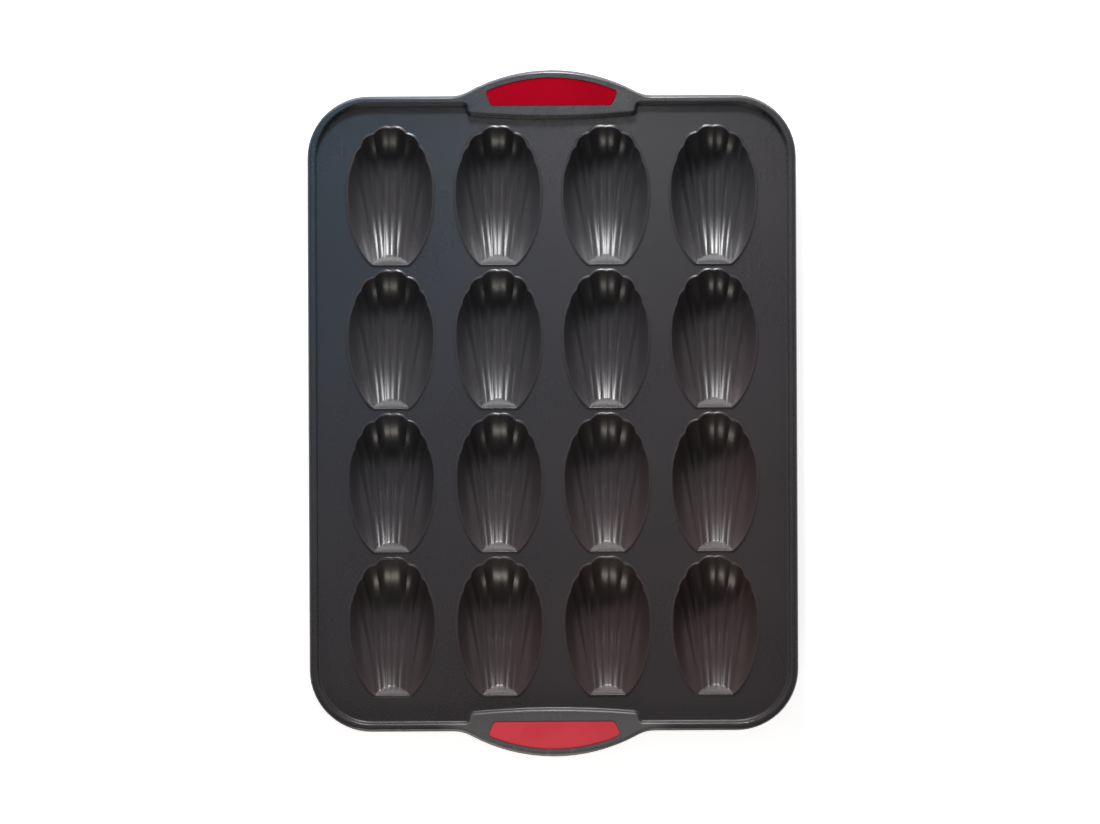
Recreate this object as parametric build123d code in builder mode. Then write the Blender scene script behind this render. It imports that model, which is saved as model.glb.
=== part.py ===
from build123d import *
import os
from math import cos, radians, sin, sqrt

# A sixteen-hollow madeleine pan, in millimetres.
# It stands on Z = 0 with its centre over the origin, and +Y runs to the far handle.

# Pan body, measured at the outside of the rolled rim
pan_length = 361.0
pan_width = 277.6
corner_radius = 35.2
sheet = 0.8
rim_height = 4.6
rim_edge_radius = 1.5
deck_bend_radius = 1.5

# Rolled rim and the wire inside it
wire_radius = 1.5
wire_clearance = 0.1
curl_end_angle = 60.0

# Hollows: how many there are, and where they stand
columns = 4
rows = 4
side_margin = 16.4
end_margin = 17.3
rows_offset = 1.1
column_gap = 14.0
row_gap = 4.0

# The bowl of a hollow, before its flutes, measured from the hollow's centre
bowl_depth = 15.3
bowl_middle = 3.0
bowl_power = 3.0
near_power = 1.8
far_flute_reach = 0.8
near_length_share = 1.1
near_end_slope = 46.0
wall_slope = 61.0
foot_flat = 0.25

# Flutes: where the ridges between them lie, and how round they are
ridge_near_shares = (0.136, 0.271, 0.411)
ridge_centre_shares = (0.22, 0.466, 0.686)
ridge_lip_shares = (0.386, 0.695, 0.873)
ridge_lip_place_shares = (0.917, 0.689, 0.489)
flute_radius = 7.0
side_flute_radius = 13.0
centre_ridge_share = 0.5
form_margin_share = 0.14
form_flare_share = 0.35
form_headroom = 1.0
near_station_shares = (0.956, 0.8, 0.63, 0.43, 0.22)
far_station_shares = (0.23, 0.43, 0.6, 0.74, 0.86, 0.96, 1.04, 1.12)

# The raised lip round each hollow
lip_height = 0.5
lip_land = 0.35
lip_base = 1.45

# Handles
handle_reach = 14.5
handle_arc_radius = 99.5
handle_blend_radius = 20.0
pad_reach = 12.5
pad_bow = 2.2
pad_width = 95.0
pad_flare = 3.0
pad_corner_radius = 2.5

# Silicone grips and the openings that hold them
grip_border = 4.3
grip_length = 75.6
grip_back_length = 68.6
grip_back = 5.9
grip_corner_radius = 2.2
grip_recess = 0.3
grip_edge_radius = 0.4
grip_flange_width = 2.6
grip_flange_depth = 3.4
flange_clearance = 0.3

# Sizes that follow from those above
half_length = pan_length / 2
bead_radius = wire_radius + wire_clearance + sheet
wall_inset = 2 * bead_radius
slope_share = sin(radians(near_end_slope))
wall_share = sin(radians(wall_slope))
column_pitch = (pan_width - 2 * side_margin) / columns
row_pitch = (pan_length - 2 * end_margin) / rows
bowl_half_width = (column_pitch - column_gap) / 2
near_end = (row_pitch - row_gap) / 2
bowl_far_length = near_end - far_flute_reach - bowl_middle
bowl_near_length = near_length_share * (near_end + bowl_middle)
near_stations = [bowl_middle - share * bowl_near_length for share in near_station_shares]
far_stations = [bowl_middle + share * bowl_far_length for share in far_station_shares]
form_stations = [*near_stations, bowl_middle, *far_stations]


def outline_face(inset):
    """The pan from above, with both handles, drawn in by inset."""
    with BuildSketch() as outline:
        RectangleRounded(pan_width, pan_length, corner_radius)
        with Locations((0, half_length + handle_reach - handle_arc_radius)):
            Circle(handle_arc_radius)
        with Locations((0, handle_arc_radius - half_length - handle_reach)):
            Circle(handle_arc_radius)
        inner_corners = outline.vertices().sort_by(lambda v: abs(v.X))[:4]
        fillet(inner_corners, handle_blend_radius)
        if inset > 0:
            offset(amount=-inset)
    return outline.sketch


def pad_face():
    """The raised pad of the far handle, from its inner edge to past the rim."""
    inner = half_length - pad_reach
    outer = half_length + handle_reach
    half = pad_width / 2
    with BuildSketch() as pad:
        with BuildLine():
            ThreePointArc((-half, inner + pad_bow), (0, inner), (half, inner + pad_bow))
            Polyline(
                (half, inner + pad_bow),
                (half + pad_flare, outer),
                (-half - pad_flare, outer),
                (-half, inner + pad_bow),
            )
        make_face()
    return pad.sketch


def deck_face(grow):
    """The sunken floor inside the rim wall, with a notch for each pad."""
    with BuildSketch() as deck:
        RectangleRounded(
            pan_width - 2 * wall_inset,
            pan_length - 2 * wall_inset,
            corner_radius - wall_inset,
        )
        add(pad_face(), mode=Mode.SUBTRACT)
        add(pad_face().rotate(Axis.Z, 180), mode=Mode.SUBTRACT)
        corners = deck.vertices().sort_by(lambda v: abs(v.X))[:8]
        fillet(corners, pad_corner_radius)
        if grow > 0:
            offset(amount=grow)
    return deck.sketch


def grip_face(grow):
    """The far grip from above, grown all round."""
    arc_radius = handle_arc_radius - grip_border
    arc_middle = half_length + handle_reach - handle_arc_radius
    back = half_length - grip_back
    front = arc_middle + sqrt(arc_radius**2 - (grip_length / 2) ** 2)
    with BuildSketch() as grip:
        with BuildLine():
            ThreePointArc(
                (-grip_length / 2, front),
                (0, arc_middle + arc_radius),
                (grip_length / 2, front),
            )
            Polyline(
                (grip_length / 2, front),
                (grip_back_length / 2, back),
                (-grip_back_length / 2, back),
                (-grip_length / 2, front),
            )
        make_face()
        fillet(grip.vertices(), grip_corner_radius)
        if grow > 0:
            offset(amount=grow)
    return grip.sketch


def bowl_level(x, y, grow):
    """The level of the bowl, which runs out in a ramp to the near end, at a place in the hollow."""
    half = bowl_half_width + grow / wall_share
    length = bowl_far_length if y > bowl_middle else bowl_near_length
    along = ((y - bowl_middle) / (length + grow / wall_share)) ** 2
    reach = (x / half) ** 2 + along
    power = bowl_power
    if y < bowl_middle:
        power -= (bowl_power - near_power) * along / reach
    return (bowl_depth + grow) * (reach ** (power / 2) - 1)


def ridge_place(ridge, y):
    """How far a ridge lies from the middle line: a parabola through three known places."""
    near = -near_end
    lip = bowl_middle + ridge_lip_place_shares[ridge] * bowl_far_length
    near_part = ridge_near_shares[ridge] * y * (y - lip) / (near * (near - lip))
    centre_part = ridge_centre_shares[ridge] * (y - near) * (y - lip) / (near * lip)
    lip_part = ridge_lip_shares[ridge] * (y - near) * y / ((lip - near) * lip)
    return bowl_half_width * (near_part + centre_part + lip_part)


def side_place(y, grow):
    """How far the form reaches to the side, a little past the lip."""
    length = bowl_far_length if y > bowl_middle else bowl_near_length
    share = ((y - bowl_middle) / length) ** 2
    share = form_flare_share * share if y > bowl_middle else -share
    return (bowl_half_width + grow / wall_share) * sqrt(1 + form_margin_share + share)


def flute_middle(start, end, y, grow, radius):
    """The lowest point of a flute, below the bowl, midway between two ridges."""
    x = (start[0] + end[0]) / 2
    step = sheet / 100
    rise = (bowl_level(x + step, y, grow) - bowl_level(x - step, y, grow)) / (2 * step)
    depth = (end[0] - start[0]) ** 2 / (8 * radius)
    lean = sqrt(1 + rise**2)
    return (x + depth * rise / lean, bowl_level(x, y, grow) - depth / lean)


def form_section(y, grow):
    """A cross-section of the form that presses a hollow, open eight flutes wide."""
    spread = 1 + grow / wall_share / bowl_half_width
    places = [0] + [spread * ridge_place(ridge, y) for ridge in range(3)] + [side_place(y, grow)]
    ridges = [(x, bowl_level(x, y, grow)) for x in places]
    centre_drop = centre_ridge_share * places[1] ** 2 / (8 * flute_radius)
    ridges[0] = (0, ridges[0][1] - centre_drop)
    radii = [flute_radius, flute_radius, flute_radius, side_flute_radius]
    plane = Plane(origin=(0, y, 0), x_dir=(1, 0, 0), z_dir=(0, -1, 0))
    with BuildSketch(plane) as section:
        with BuildLine():
            for start, end, radius in zip(ridges, ridges[1:], radii):
                middle = flute_middle(start, end, y, grow, radius)
                ThreePointArc(start, middle, end)
                ThreePointArc((-start[0], start[1]), (-middle[0], middle[1]), (-end[0], end[1]))
            side, level = ridges[-1]
            top = level + form_headroom
            Polyline((side, level), (side, top), (-side, top), (-side, level))
        make_face()
    return section.sketch


def hollow_form(grow, top):
    """The form that presses a hollow, grown by the sheet for its underside, up to a level."""
    end = near_end + grow / slope_share
    end_plane = Plane(
        origin=(0, -end, 0),
        x_dir=(1, 0, 0),
        z_dir=(0, slope_share, cos(radians(near_end_slope))),
    )
    with BuildPart() as form:
        for y in form_stations:
            add(form_section(y, grow))
        loft()
        split(bisect_by=Plane((0, 0, top)), keep=Keep.BOTTOM)
        split(bisect_by=end_plane, keep=Keep.TOP)
    return form.part


inside = hollow_form(0, 0)
outside = hollow_form(sheet, -lip_height)
mouth = inside.faces().sort_by(Axis.Z)[-1]
mouth_size = mouth.bounding_box().size
foot_level = outside.bounding_box().min.Z + foot_flat
crest_level = -foot_level
deck_level = crest_level - lip_height
rim_level = deck_level + rim_height
bead_level = rim_level - bead_radius


def mouth_face(grow, level):
    """The mouth of a hollow grown by a little all round, at a level under the crest."""
    wider = (1 + 2 * grow / mouth_size.X, 1 + 2 * grow / mouth_size.Y, 1)
    return scale(mouth, by=wider).moved(Location((0, 0, level)))


with BuildPart() as hollow:
    loft([mouth_face(lip_base, -lip_height), mouth_face(lip_land, 0)], ruled=True)
    add(extrude(mouth_face(lip_base, -lip_height), amount=-sheet, dir=(0, 0, 1)))
    add(outside)
    add(inside, mode=Mode.SUBTRACT)
    split(bisect_by=Plane((0, 0, foot_level)), keep=Keep.TOP)

hollow_places = {}
for row in range(rows):
    for column in range(columns):
        x = (column - (columns - 1) / 2) * column_pitch
        y = ((rows - 1) / 2 - row) * row_pitch + rows_offset
        hollow_places[f"hollow_row_{row + 1}_col_{column + 1}"] = Location((x, y, crest_level))

# The path of the rolled edge round the pan, and the plane of its section
bead_path = outline_face(bead_radius).wire().moved(Location((0, 0, bead_level)))
bead_start = bead_path @ 0
bead_along = bead_path % 0
bead_out = bead_along.cross(Vector(0, 0, 1))
if bead_out.dot(bead_start) < 0:
    bead_along = -bead_along
    bead_out = -bead_out
bead_plane = Plane(origin=bead_start, x_dir=bead_out, z_dir=-bead_along)

with BuildSketch(bead_plane) as curl_profile:
    Circle(bead_radius)
    Circle(wire_radius + wire_clearance, mode=Mode.SUBTRACT)
    with BuildLine():
        reach = 2 * bead_radius
        rise = reach * sin(radians(curl_end_angle))
        Polyline((0, 0), (0, reach), (-reach, reach), (-reach, -rise), (-rise / 2, -rise), (0, 0))
    make_face(mode=Mode.SUBTRACT)

with BuildPart() as rim_wire:
    with BuildSketch(bead_plane):
        Circle(wire_radius)
    sweep(path=bead_path)

# The sheet between the hollows, with its wall, its pads and its rolled edge
hole = extrude(mouth_face(lip_base, -lip_height - sheet), amount=sheet, dir=(0, 0, 1))

with BuildPart() as deck_and_rim:
    with BuildSketch(Plane((0, 0, deck_level))):
        add(deck_face(sheet))
    extrude(amount=-sheet)
    add([hole.moved(place) for place in hollow_places.values()], mode=Mode.SUBTRACT)
    with BuildSketch(Plane((0, 0, deck_level))):
        add(deck_face(sheet))
        add(deck_face(0), mode=Mode.SUBTRACT)
    extrude(amount=rim_height)
    with BuildSketch(Plane((0, 0, rim_level))):
        add(outline_face(bead_radius))
        add(deck_face(0), mode=Mode.SUBTRACT)
    extrude(amount=-sheet)
    level_faces = deck_and_rim.faces().filter_by(Plane.XY)
    floor = level_faces.sort_by(lambda face: abs(face.center().Z - deck_level))[0]
    top = level_faces.sort_by(Axis.Z)[-1]
    fillet(top.inner_wires()[0].edges(), rim_edge_radius)
    fillet(floor.outer_wire().edges(), deck_bend_radius)
    add(sweep(curl_profile.sketch, path=bead_path, mode=Mode.PRIVATE))
    for turn in (0, 180):
        with BuildSketch(Plane((0, 0, rim_level))):
            add(grip_face(0).rotate(Axis.Z, turn))
        extrude(amount=-sheet, mode=Mode.SUBTRACT)

with BuildPart() as far_grip:
    with BuildSketch(Plane((0, 0, rim_level - sheet))):
        add(grip_face(0))
    extrude(amount=sheet - grip_recess)
    top_edges = far_grip.faces().sort_by(Axis.Z)[-1].edges()
    fillet(top_edges, grip_edge_radius)
    with BuildSketch(Plane((0, 0, rim_level - sheet))):
        add(grip_face(grip_flange_width))
        add(outline_face(wall_inset - flange_clearance), mode=Mode.INTERSECT)
    extrude(amount=-grip_flange_depth)

nodes = {
    "deck_and_rim": deck_and_rim.part,
    "rim_wire": rim_wire.part,
    "far_grip": far_grip.part,
    "near_grip": far_grip.part.rotate(Axis.Z, 180),
}
for name, place in hollow_places.items():
    nodes[name] = hollow.part.moved(place)

os.makedirs("parts", exist_ok=True)
for name, node in nodes.items():
    node.label = name
    export_step(node, f"parts/{name}.step")
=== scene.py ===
import math

import bpy
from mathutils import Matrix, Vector


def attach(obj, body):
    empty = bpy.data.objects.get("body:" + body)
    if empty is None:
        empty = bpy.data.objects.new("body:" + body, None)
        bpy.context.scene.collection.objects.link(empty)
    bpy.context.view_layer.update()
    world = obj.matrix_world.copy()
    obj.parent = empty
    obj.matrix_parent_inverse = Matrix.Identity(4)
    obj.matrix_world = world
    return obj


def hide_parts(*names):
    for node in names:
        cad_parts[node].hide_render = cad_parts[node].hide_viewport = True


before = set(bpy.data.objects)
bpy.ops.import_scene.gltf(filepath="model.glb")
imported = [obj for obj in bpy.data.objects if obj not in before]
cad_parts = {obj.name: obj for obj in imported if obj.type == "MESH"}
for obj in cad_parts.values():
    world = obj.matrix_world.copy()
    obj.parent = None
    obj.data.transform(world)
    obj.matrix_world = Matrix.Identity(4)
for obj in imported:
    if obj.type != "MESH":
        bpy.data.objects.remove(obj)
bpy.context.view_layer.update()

# The sixteen hollows: fluted shells drawn down from the one sheet of coated steel,
# each with a low rounded lip round its mouth. One is made here and copied, because
# all are struck by the same tool. They meet the deck at the foot of the lip.
mm = 0.001
columns, rows = 4, 4
column_pitch, row_pitch, rows_offset = 61.2, 81.6, 1.1
crest_level = 16.4955
bowl_depth, bowl_half_width, bowl_middle = 15.3, 23.6, 3.0
bowl_far_length, bowl_near_length = 35.0, 45.98
far_power, near_power = 3.0, 1.8
near_end, near_slope, facet_run = 38.8, math.radians(46), 9
ridges_near, ridges_centre, ridges_lip = (3.2, 6.4, 9.7), (5.2, 11.0, 16.2), (9.1, 16.4, 20.6)
ridge_lip_places = (35.1, 27.1, 20.1)
flutes, flute_radius, side_flute_radius = 8, 7.0, 13.0
ridge_round, ridge_round_steps = 0.4, 3
flute_steps, length_steps = 6, 60
form_near, form_far = -41.0, 42.0
side_reach, far_side_reach = 1.14, 0.35
sheet = 0.8
lip_rings = (
    (0.12, -0.1), (0.32, 0), (0.6, -0.03), (0.95, -0.18), (1.3, -0.38), (1.6, -0.5), (1.9, -0.56),
)
mouth_level, mouth_width, mouth_length = -0.25, 48.2, 77.4
nudge, near_enough, cut_tolerance = 0.01, 0.002, 0.00001
smooth_under = math.radians(38)


def along_share(y):
    """How far from the bowl's middle to its end a section lies, squared."""
    length = bowl_far_length if y > bowl_middle else bowl_near_length
    return ((y - bowl_middle) / length) ** 2


def bowl_level(x, y):
    """How high the plain bowl lies under the lip's crest, with a ramp to the near end."""
    along = along_share(y)
    reach = (x / bowl_half_width) ** 2 + along
    power = far_power
    if y < bowl_middle:
        power -= (far_power - near_power) * along / reach
    return bowl_depth * (reach ** (power / 2) - 1)


def ridge_place(ridge, y):
    """How far a ridge lies from the middle line, on a parabola through three places."""
    near, far = -near_end, ridge_lip_places[ridge]
    return (
        ridges_near[ridge] * y * (y - far) / (near * (near - far))
        + ridges_centre[ridge] * (y - near) * (y - far) / (near * far)
        + ridges_lip[ridge] * (y - near) * y / ((far - near) * far)
    )


def flute_points(start, end, y, radius):
    """Points along the round of one flute, from one ridge up to the next."""
    x = (start.x + end.x) / 2
    rise = (bowl_level(x + nudge, y) - bowl_level(x - nudge, y)) / (2 * nudge)
    lean = math.sqrt(1 + rise * rise)
    depth = (end.x - start.x) ** 2 / (8 * radius)
    low = Vector((x + depth * rise / lean, bowl_level(x, y) - depth / lean))
    points = []
    for step in range(flute_steps):
        share = step / flute_steps
        swell = 4 * share * (1 - share)
        points.append(start.lerp(end, share) + (low - (start + end) / 2) * swell)
    return points


def section_points(y):
    """One cross-section of the hollow, from its left side to its right."""
    share = along_share(y)
    reach = side_reach + (far_side_reach * share if y > bowl_middle else -share)
    side = bowl_half_width * math.sqrt(reach)
    places = [0] + [ridge_place(ridge, y) for ridge in range(len(ridges_centre))] + [side]
    ridges = [Vector((x, bowl_level(x, y))) for x in places]
    # The middle ridge stands lower than the others by half a flute's depth.
    ridges[0].y -= places[1] ** 2 / (16 * flute_radius)
    radii = (flute_radius, flute_radius, flute_radius, side_flute_radius)
    points = []
    for start, end, radius in zip(ridges, ridges[1:], radii):
        points += flute_points(start, end, y, radius)
    points.append(ridges[-1])
    return [Vector((-point.x, point.y)) for point in reversed(points[1:])] + points


across = flutes * flute_steps
bpy.ops.object.select_all(action="DESELECT")
bpy.ops.mesh.primitive_grid_add(x_subdivisions=across, y_subdivisions=length_steps, size=2)
shell = bpy.context.active_object
ridge_ends = set()
for vertex in shell.data.vertices:
    column = round((vertex.co.x + 1) / 2 * across)
    row = round((vertex.co.y + 1) / 2 * length_steps)
    y = form_near + (form_far - form_near) * row / length_steps
    point = section_points(y)[column]
    if column % flute_steps == 0 and 0 < column < across:
        ridge_ends.add(vertex.index)
    vertex.co = Vector((point.x, y, point.y)) * mm


def pick_edges(wanted):
    """Selects the shell's edges whose two ends pass a test, and goes to edit mode."""
    bpy.ops.object.mode_set(mode="OBJECT")
    mesh = shell.data
    for part in (mesh.vertices, mesh.edges, mesh.polygons):
        part.foreach_set("select", [False] * len(part))
    for edge in mesh.edges:
        ends = [mesh.vertices[v] for v in edge.vertices]
        if all(wanted(end) for end in ends):
            edge.select = True
            for end in ends:
                end.select = True
    bpy.ops.object.mode_set(mode="EDIT")


def cut_past(place, normal, fill=False):
    """Cuts off what lies past a plane, in edit mode, and closes the cut if asked to."""
    bpy.ops.mesh.select_all(action="SELECT")
    bpy.ops.mesh.bisect(
        plane_co=place,
        plane_no=normal,
        use_fill=fill,
        clear_outer=True,
        threshold=cut_tolerance * mm,
    )


# The ridges are rounded, as a coated pressing's are.
bpy.ops.object.mode_set(mode="EDIT")
bpy.ops.mesh.select_mode(type="EDGE")
pick_edges(lambda end: end.index in ridge_ends)
bpy.ops.mesh.bevel(
    offset=ridge_round * mm,
    offset_type="OFFSET",
    segments=ridge_round_steps,
    profile=0.5,
    affect="EDGES",
)

# The near end is cut off by a steep flat facet, which runs up past the mouth.
facet_normal = Vector((0, -math.sin(near_slope), -math.cos(near_slope)))
facet_up = Vector((0, -math.cos(near_slope), math.sin(near_slope)))
facet_point = Vector((0, -near_end, 0))
cut_past(facet_point * mm, facet_normal)
pick_edges(lambda end: abs((end.co / mm - facet_point).dot(facet_normal)) < near_enough)
bpy.ops.mesh.extrude_edges_move()
bpy.ops.transform.translate(value=facet_up * facet_run * mm)
cut_past((0, 0, mouth_level * mm), (0, 0, 1))

# The lip rolls over outwards from the mouth down to the deck.
pick_edges(lambda end: (end.co / mm).z > mouth_level - near_enough)
grown, level = 0.0, mouth_level
for grow, ring_level in lip_rings:
    bpy.ops.mesh.extrude_edges_move()
    wider = (mouth_width + 2 * grow) / (mouth_width + 2 * grown)
    longer = (mouth_length + 2 * grow) / (mouth_length + 2 * grown)
    bpy.ops.transform.resize(value=(wider, longer, 1), center_override=(0, 0, 0))
    bpy.ops.transform.translate(value=(0, 0, (ring_level - level) * mm))
    grown, level = grow, ring_level
bpy.ops.mesh.select_all(action="SELECT")
bpy.ops.mesh.remove_doubles(threshold=near_enough * mm)
bpy.ops.object.mode_set(mode="OBJECT")

# The sheet's thickness, with the lowest flutes flattened where the pan stands.
wall = shell.modifiers.new("wall", "SOLIDIFY")
wall.thickness = sheet * mm
wall.offset = -1
bpy.ops.object.modifier_apply(modifier=wall.name)
bpy.ops.object.mode_set(mode="EDIT")
cut_past((0, 0, -crest_level * mm), (0, 0, -1), fill=True)
bpy.ops.object.mode_set(mode="OBJECT")
bpy.ops.object.shade_smooth_by_angle(angle=smooth_under)


def feed(tree, socket, value):
    """Links another node's output to a socket, or sets the socket to a plain value."""
    if isinstance(value, bpy.types.NodeSocket):
        tree.links.new(value, socket)
    else:
        socket.default_value = value


def linked_node(tree, kind, **wanted):
    """Adds a node and feeds its inputs, by their names or by _0, _1 and so on."""
    node = tree.nodes.new(kind)
    for name, value in wanted.items():
        key = int(name[1:]) if name[1:].isdigit() else name.replace("_", " ")
        feed(tree, node.inputs[key], value)
    return node


def maths(tree, operation, first, second=0.0, clamp=False):
    """A sum, product or other maths of two values in a node tree."""
    node = linked_node(tree, "ShaderNodeMath", _0=first, _1=second)
    node.operation = operation
    node.use_clamp = clamp
    return node.outputs[0]


def times(tree, first, second):
    """The product of two values."""
    return maths(tree, "MULTIPLY", first, second)


def plus(tree, first, second):
    """The sum of two values."""
    return maths(tree, "ADD", first, second)


def ranged(tree, value, low, high, start=0.0, end=1.0):
    """A value mapped smoothly from one range on to another."""
    node = linked_node(
        tree,
        "ShaderNodeMapRange",
        Value=value,
        From_Min=low,
        From_Max=high,
        To_Min=start,
        To_Max=end,
    )
    node.interpolation_type = "SMOOTHSTEP"
    return node.outputs["Result"]


def noise(tree, place, scale, detail, along=1.0):
    """Noise at a scale per metre, drawn out along the pan where along is under one."""
    spread = linked_node(tree, "ShaderNodeMapping", Vector=place, Scale=(1, along, 1)).outputs[0]
    node = linked_node(tree, "ShaderNodeTexNoise", Vector=spread, Scale=scale, Detail=detail)
    return node.outputs["Fac"]


def mixed(tree, factor, first, second):
    """Two colours mixed by a factor."""
    node = tree.nodes.new("ShaderNodeMix")
    node.data_type = "RGBA"
    feed(tree, node.inputs["Factor"], factor)
    feed(tree, node.inputs[6], first)
    feed(tree, node.inputs[7], second)
    return node.outputs[2]


# The coat's look, shared by the hollows and the deck: flecks of pigment, faint
# lines drawn along the pan as the sheet was pressed, a painted bluish reflection to
# the far left, a brown tint to the near right, places rubbed a little bare, and a
# painted sheen on the near handle pad.
fresh_coat, aged_coat = (0.036, 0.034, 0.038, 1), (0.044, 0.042, 0.047, 1)
# The colour of a painted bluish reflection, and a brown tint.
painted_blue_reflection, brown_tint = (0.022, 0.036, 0.052, 1), (0.052, 0.036, 0.036, 1)
fleck_grey, rubbed_grey = (0.09, 0.09, 0.094, 1), (0.12, 0.12, 0.122, 1)
# The pale grey of a painted sheen on the near handle pad.
painted_pad_sheen_grey = (0.17, 0.165, 0.165, 1)
patch_scale, rub_scale, line_scale, grain_scale, fleck_scale = 14, 160, 520, 1100, 2600
line_stretch, coat_roughness = 0.03, 0.25

look = bpy.data.node_groups.new("coat_look", "ShaderNodeTree")
for name in ("Rubbed Level", "Rubbed Depth", "Drawn Lines", "Brown Tint Share", "Blue Reflection", "Pad Sheen"):
    look.interface.new_socket(name, in_out="INPUT", socket_type="NodeSocketFloat")
look.interface.new_socket("Color", in_out="OUTPUT", socket_type="NodeSocketColor")
look.interface.new_socket("Roughness", in_out="OUTPUT", socket_type="NodeSocketFloat")
look.interface.new_socket("Height", in_out="OUTPUT", socket_type="NodeSocketFloat")
given = look.nodes.new("NodeGroupInput").outputs
place = look.nodes.new("ShaderNodeTexCoord").outputs["Object"]
axes = linked_node(look, "ShaderNodeSeparateXYZ", Vector=place).outputs

patches = noise(look, place, patch_scale, 3)
blotches = ranged(look, patches, 0.3, 0.7)
flecks = ranged(look, noise(look, place, fleck_scale, 1), 0.58, 0.72)
lines = times(look, noise(look, place, line_scale, 3, line_stretch), given["Drawn Lines"])

# The coat is rubbed from the given level down to the given depth, here and there.
rubbed_from = maths(look, "SUBTRACT", given["Rubbed Level"], given["Rubbed Depth"])
rubbed = maths(look, "SUBTRACT", axes["Z"], rubbed_from)
rubbed = maths(look, "DIVIDE", rubbed, given["Rubbed Depth"], clamp=True)
rubbed = times(look, rubbed, ranged(look, noise(look, place, rub_scale, 4), 0.38, 0.62))

# The painted bluish reflection grows to the far left, and the brown tint to the near
# right. Places on the pan are in metres here, as Object coordinates are.
to_left, to_far = ranged(look, axes["X"], 0.06, -0.14), ranged(look, axes["Y"], -0.12, 0.17)
blue_reflection_share = times(look, times(look, to_left, to_far), given["Blue Reflection"])
# A brown tint, stronger towards the near right.
brown = plus(look, times(look, axes["X"], 2.2), times(look, axes["Y"], -3.4))
brown = plus(look, brown, times(look, patches, 0.3))
brown = times(look, ranged(look, brown, -0.1, 0.75), given["Brown Tint Share"])

# A painted sheen pales the top of the near handle pad.
near_pad = times(look, ranged(look, axes["Y"], -0.15, -0.178), ranged(look, axes["Z"], 0.018, 0.02))
off_middle = maths(look, "ABSOLUTE", axes["X"])
painted_pad_sheen = times(look, near_pad, ranged(look, off_middle, 0.07, 0.05))
painted_pad_sheen = times(look, painted_pad_sheen, given["Pad Sheen"])
painted_pad_sheen = times(look, painted_pad_sheen, ranged(look, patches, 0.2, 0.8, 0.85, 1))

shade = mixed(look, blotches, fresh_coat, aged_coat)
# The painted bluish reflection.
shade = mixed(look, blue_reflection_share, shade, painted_blue_reflection)
shade = mixed(look, brown, shade, brown_tint)
shade = mixed(look, times(look, flecks, 0.35), shade, fleck_grey)
shade = mixed(look, times(look, rubbed, 0.05), shade, rubbed_grey)
# The painted sheen on the near handle pad.
shade = mixed(look, painted_pad_sheen, shade, painted_pad_sheen_grey)
rough = plus(look, coat_roughness, times(look, blotches, 0.05))
rough = plus(look, rough, times(look, lines, 0.06))
rough = plus(look, rough, times(look, flecks, 0.06))
rough = maths(look, "SUBTRACT", rough, times(look, rubbed, 0.02))
height = times(look, lines, 1.6)
height = plus(look, height, times(look, noise(look, place, grain_scale, 2), 0.35))
height = plus(look, height, times(look, flecks, 0.1))
linked_node(look, "NodeGroupOutput", Color=shade, Roughness=rough, Height=height)


def new_finish(name):
    """A new material, with its node tree and its shader."""
    finish = bpy.data.materials.new(name)
    finish.use_nodes = True
    return finish, finish.node_tree, finish.node_tree.nodes["Principled BSDF"]


def coat_material(name, wear_and_sheen):
    """The non-stick coat, as one part of the sheet wears it, with any painted sheen and reflection
    given for that part.
    """
    coat, tree, shader = new_finish(name)
    shader.inputs["IOR"].default_value = 1.6
    group = tree.nodes.new("ShaderNodeGroup")
    group.node_tree = look
    for socket, value in wear_and_sheen.items():
        group.inputs[socket].default_value = value
    height = group.outputs["Height"]
    bump = linked_node(tree, "ShaderNodeBump", Strength=0.35, Distance=0.03 * mm, Height=height)
    feed(tree, shader.inputs["Base Color"], group.outputs["Color"])
    feed(tree, shader.inputs["Roughness"], group.outputs["Roughness"])
    feed(tree, shader.inputs["Normal"], bump.outputs["Normal"])
    return coat


hollow_wear = {
    "Rubbed Level": crest_level * mm,
    "Rubbed Depth": 0.3 * mm,
    "Drawn Lines": 1.0,
    "Brown Tint Share": 1.0,
    "Blue Reflection": 0.0,
    "Pad Sheen": 0.0,
}
shell.data.materials.append(coat_material("hollow_coat", hollow_wear))

for row in range(rows):
    for column in range(columns):
        struck = bpy.data.objects.new(f"shell_row_{row + 1}_col_{column + 1}", shell.data.copy())
        bpy.context.scene.collection.objects.link(struck)
        x = (column - (columns - 1) / 2) * column_pitch
        y = ((rows - 1) / 2 - row) * row_pitch + rows_offset
        centre = Vector((x, y, crest_level))
        for vertex in struck.data.vertices:
            vertex.co += centre * mm
        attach(struck, "root")
        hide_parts(f"hollow_row_{row + 1}_col_{column + 1}")
bpy.data.objects.remove(shell)

# The rest of the same coated steel sheet, pressed with the hollows: the sunken deck
# between them, the wall round it, the two raised handle pads with their openings,
# and the edge rolled over a wire.
rim_top = 20.5955


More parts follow.
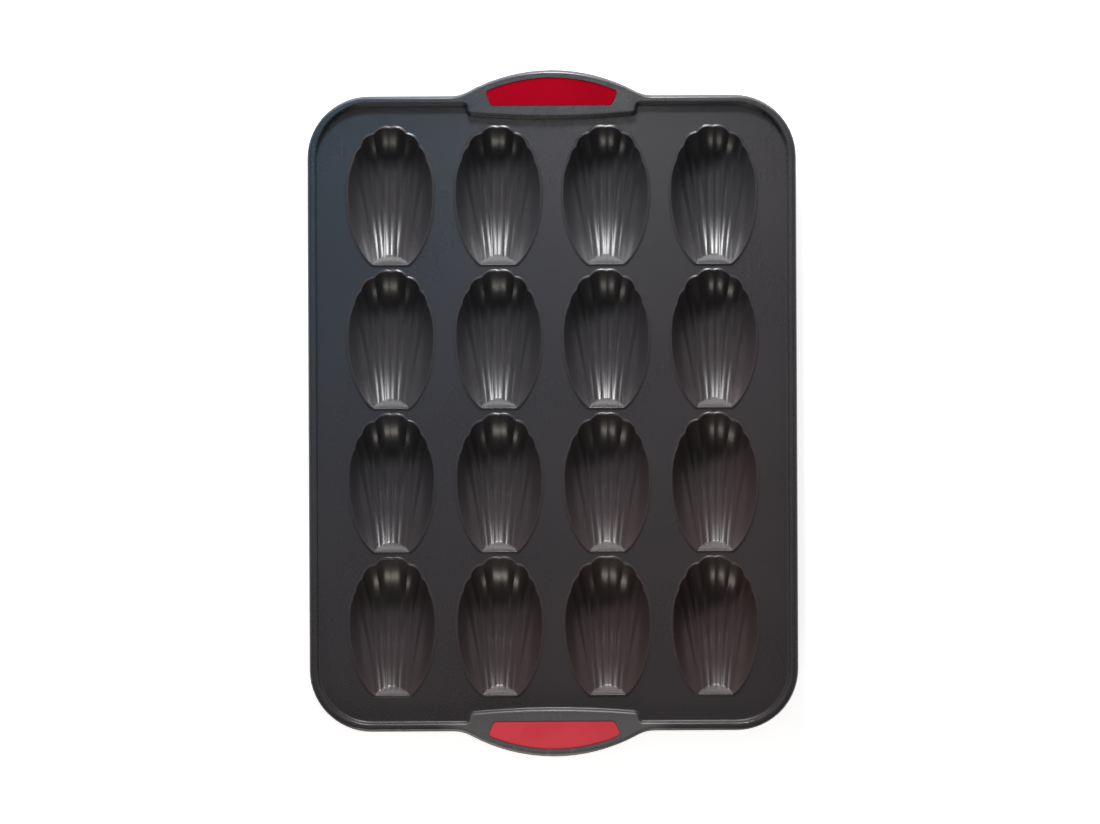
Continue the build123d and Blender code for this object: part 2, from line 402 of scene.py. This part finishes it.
def welded_copy(node_name, name):
    """A node's own shape as one welded skin, which keeps the shading of its true faces."""
    piece = bpy.data.objects.new(name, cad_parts[node_name].data.copy())
    bpy.context.scene.collection.objects.link(piece)
    mesh = piece.data
    mesh.materials.clear()
    shading = mesh.attributes.new("true_normal", "FLOAT_VECTOR", "CORNER")
    values = [value for corner in mesh.corner_normals for value in corner.vector]
    shading.data.foreach_set("vector", values)
    bpy.ops.object.select_all(action="DESELECT")
    piece.select_set(True)
    bpy.context.view_layer.objects.active = piece
    bpy.ops.object.mode_set(mode="EDIT")
    bpy.ops.mesh.select_all(action="SELECT")
    bpy.ops.mesh.remove_doubles(threshold=near_enough * mm)
    bpy.ops.object.mode_set(mode="OBJECT")
    bpy.ops.object.shade_smooth()
    # Edit mode and the new normals move the attribute, so each step looks it up again.
    shading = mesh.attributes["true_normal"]
    mesh.normals_split_custom_set([Vector(corner.vector) for corner in shading.data])
    mesh.attributes.remove(mesh.attributes["true_normal"])
    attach(piece, "root")
    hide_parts(node_name)
    return piece


# The deck's wear and brown tint, with its painted bluish reflection and the painted sheen on its
# near handle pad.
deck_wear_and_sheen = {
    "Rubbed Level": rim_top * mm,
    "Rubbed Depth": 1.2 * mm,
    "Drawn Lines": 0.25,
    "Brown Tint Share": 0.35,
    "Blue Reflection": 1.0,
    "Pad Sheen": 0.7,
}
deck = welded_copy("deck_and_rim", "deck")
deck.data.materials.append(coat_material("deck_coat", deck_wear_and_sheen))

# The wire that the edge is rolled round: drawn steel, bent to the pan's outline and
# held by the roll alone. It is seen only from below, where the roll leaves it open.
bright_steel, dull_steel = (0.45, 0.45, 0.46, 1), (0.3, 0.29, 0.28, 1)
wire = welded_copy("rim_wire", "wire")
steel, tree, shader = new_finish("drawn_wire")
shader.inputs["Metallic"].default_value = 1
place = tree.nodes.new("ShaderNodeTexCoord").outputs["Object"]
dulled = ranged(tree, noise(tree, place, 60, 4), 0.35, 0.65)
feed(tree, shader.inputs["Base Color"], mixed(tree, dulled, bright_steel, dull_steel))
feed(tree, shader.inputs["Roughness"], ranged(tree, dulled, 0, 1, 0.3, 0.5))
skin = noise(tree, place, 900, 3)
grain = linked_node(tree, "ShaderNodeBump", Strength=0.4, Distance=0.02 * mm, Height=skin)
feed(tree, shader.inputs["Normal"], grain.outputs["Normal"])
wire.data.materials.append(steel)

# The two grips: red silicone plugs, pushed into the handle openings, with a matt,
# finely grained skin, and a painted sheen that pales them towards the near end.
deep_red, clear_red = (0.29, 0.0006, 0.009, 1), (0.33, 0.0008, 0.011, 1)
# The pale red of the painted sheen, and the pink of fine specks.
painted_sheen_red, speck_pink = (0.84, 0.075, 0.098, 1), (0.8, 0.25, 0.25, 1)
silicone, tree, shader = new_finish("red_silicone")
shader.inputs["Specular IOR Level"].default_value = 0.03
place = tree.nodes.new("ShaderNodeTexCoord").outputs["Object"]
axes = linked_node(tree, "ShaderNodeSeparateXYZ", Vector=place).outputs
cloudy = ranged(tree, noise(tree, place, 35, 3), 0.3, 0.7)
# The painted sheen grows towards the near end.
to_near = ranged(tree, axes["Y"], 0.1, -0.18)
painted_sheen_share = times(tree, to_near, ranged(tree, cloudy, 0, 1, 0.85, 1))
specks = ranged(tree, noise(tree, place, 3800, 1), 0.66, 0.76)
red = mixed(tree, cloudy, deep_red, clear_red)
red = mixed(tree, painted_sheen_share, red, painted_sheen_red)
red = mixed(tree, times(tree, specks, 0.08), red, speck_pink)
feed(tree, shader.inputs["Base Color"], red)
feed(tree, shader.inputs["Roughness"], ranged(tree, cloudy, 0, 1, 0.5, 0.62))
skin = plus(tree, noise(tree, place, 2200, 3), times(tree, noise(tree, place, 260, 2), 0.8))
grain = linked_node(tree, "ShaderNodeBump", Strength=0.45, Distance=0.03 * mm, Height=skin)
feed(tree, shader.inputs["Normal"], grain.outputs["Normal"])
for end in ("far", "near"):
    grip = welded_copy(f"{end}_grip", f"{end}_silicone_grip")
    grip.data.materials.append(silicone)

# The white floor just under the pan. Its glow is seen by the camera and in the gloss
# only, so that it looks white and lights nothing, and it keeps the pan's shadow.
floor_width, floor_gap, floor_glow = 8, 0.3, 0.8
bpy.ops.object.select_all(action="DESELECT")
bpy.ops.mesh.primitive_plane_add(size=floor_width, location=(0, 0, -floor_gap * mm))
floor = bpy.context.active_object
floor.name = "floor"
white, tree, shader = new_finish("floor_white")
shader.inputs["Base Color"].default_value = (0.86, 0.86, 0.86, 1)
shader.inputs["Roughness"].default_value = 0.9
shader.inputs["Emission Color"].default_value = (1, 1, 1, 1)
rays = tree.nodes.new("ShaderNodeLightPath").outputs
seen = plus(tree, rays["Is Camera Ray"], rays["Is Glossy Ray"])
seen = maths(tree, "ADD", seen, rays["Is Transmission Ray"], clamp=True)
feed(tree, shader.inputs["Emission Strength"], times(tree, seen, floor_glow))
floor.data.materials.append(white)

# The light of the photograph: a key lamp past the far end, soft boxes and strips
# round the pan, and a faint white all about. Places and sizes are in metres, and
# power is in watts.
world = bpy.data.worlds.new("studio")
bpy.context.scene.world = world
world.use_nodes = True
world.node_tree.nodes["Background"].inputs["Color"].default_value = (1, 1, 1, 1)
world.node_tree.nodes["Background"].inputs["Strength"].default_value = 0.06
warm_white, cool_white, violet_white = (1, 0.94, 0.84), (0.9, 0.95, 1), (0.96, 0.9, 1)


def soft_light(name, place, aim, size, power, colour=(1, 1, 1)):
    """A rectangular soft box that faces a point."""
    data = bpy.data.lights.new(name, "AREA")
    data.shape = "RECTANGLE"
    data.size, data.size_y = size
    data.energy = power
    data.color = colour
    light = bpy.data.objects.new(name, data)
    bpy.context.scene.collection.objects.link(light)
    light.location = place
    light.rotation_euler = (Vector(aim) - Vector(place)).to_track_quat("-Z", "Y").to_euler()
    light.visible_camera = False
    return light


# The key lamp isn't mirrored in the gloss, and the far box shows in the gloss alone.
far_key = soft_light("far_key", (-0.1, 1.0, 0.62), (0, 0, 0), (0.24, 0.14), 15.2)
far_key.visible_glossy = False
soft_light("overhead_box", (-0.2, 0.25, 1.3), (-0.2, 0.21, 0), (0.85, 0.8), 0.55, violet_white)
soft_light("far_patch", (0.03, 0.25, 1.0), (0.03, 0.18, 0), (0.06, 0.06), 0.15)
far_box = soft_light("far_box", (0.02, 0.62, 0.43), (0, 0.1, 0), (0.09, 0.05), 2.6)
far_box.visible_diffuse = False
soft_light("far_strip", (0, 0.34, 0.056), (0, 0.1, 0.02), (0.55, 0.045), 0.55)
soft_light("near_strip", (-0.06, -0.5, 0.15), (0, -0.1, 0), (0.3, 0.1), 0.48, warm_white)
soft_light("right_box", (1.25, 0.1, 0.62), (0, 0, 0), (1.4, 1.1), 1.2)
soft_light("left_box", (-1.25, 0.1, 0.62), (0, 0, 0), (1.4, 1.1), 1.2, cool_white)

# The camera looks straight down from far away, turned a little as the photograph is.
# It shows the photograph's 1100 pixels, each 0.5677 mm wide at the height of the rim.
photo_width, pixel = 1100, 0.5677
camera_height, rim_height = 4.0, 0.02
camera_right, camera_back, camera_turn = -1.6, 0.7, math.radians(-0.27)
sensor = 36
camera_data = bpy.data.cameras.new("camera")
camera = bpy.data.objects.new("camera", camera_data)
bpy.context.scene.collection.objects.link(camera)
camera_data.sensor_width = sensor
camera_data.lens = sensor * camera_height / (photo_width * pixel * mm)
camera.location = (camera_right * mm, camera_back * mm, camera_height + rim_height)
camera.rotation_euler = (0, 0, camera_turn)
bpy.context.scene.camera = camera
bpy.context.scene.view_settings.view_transform = "Standard"
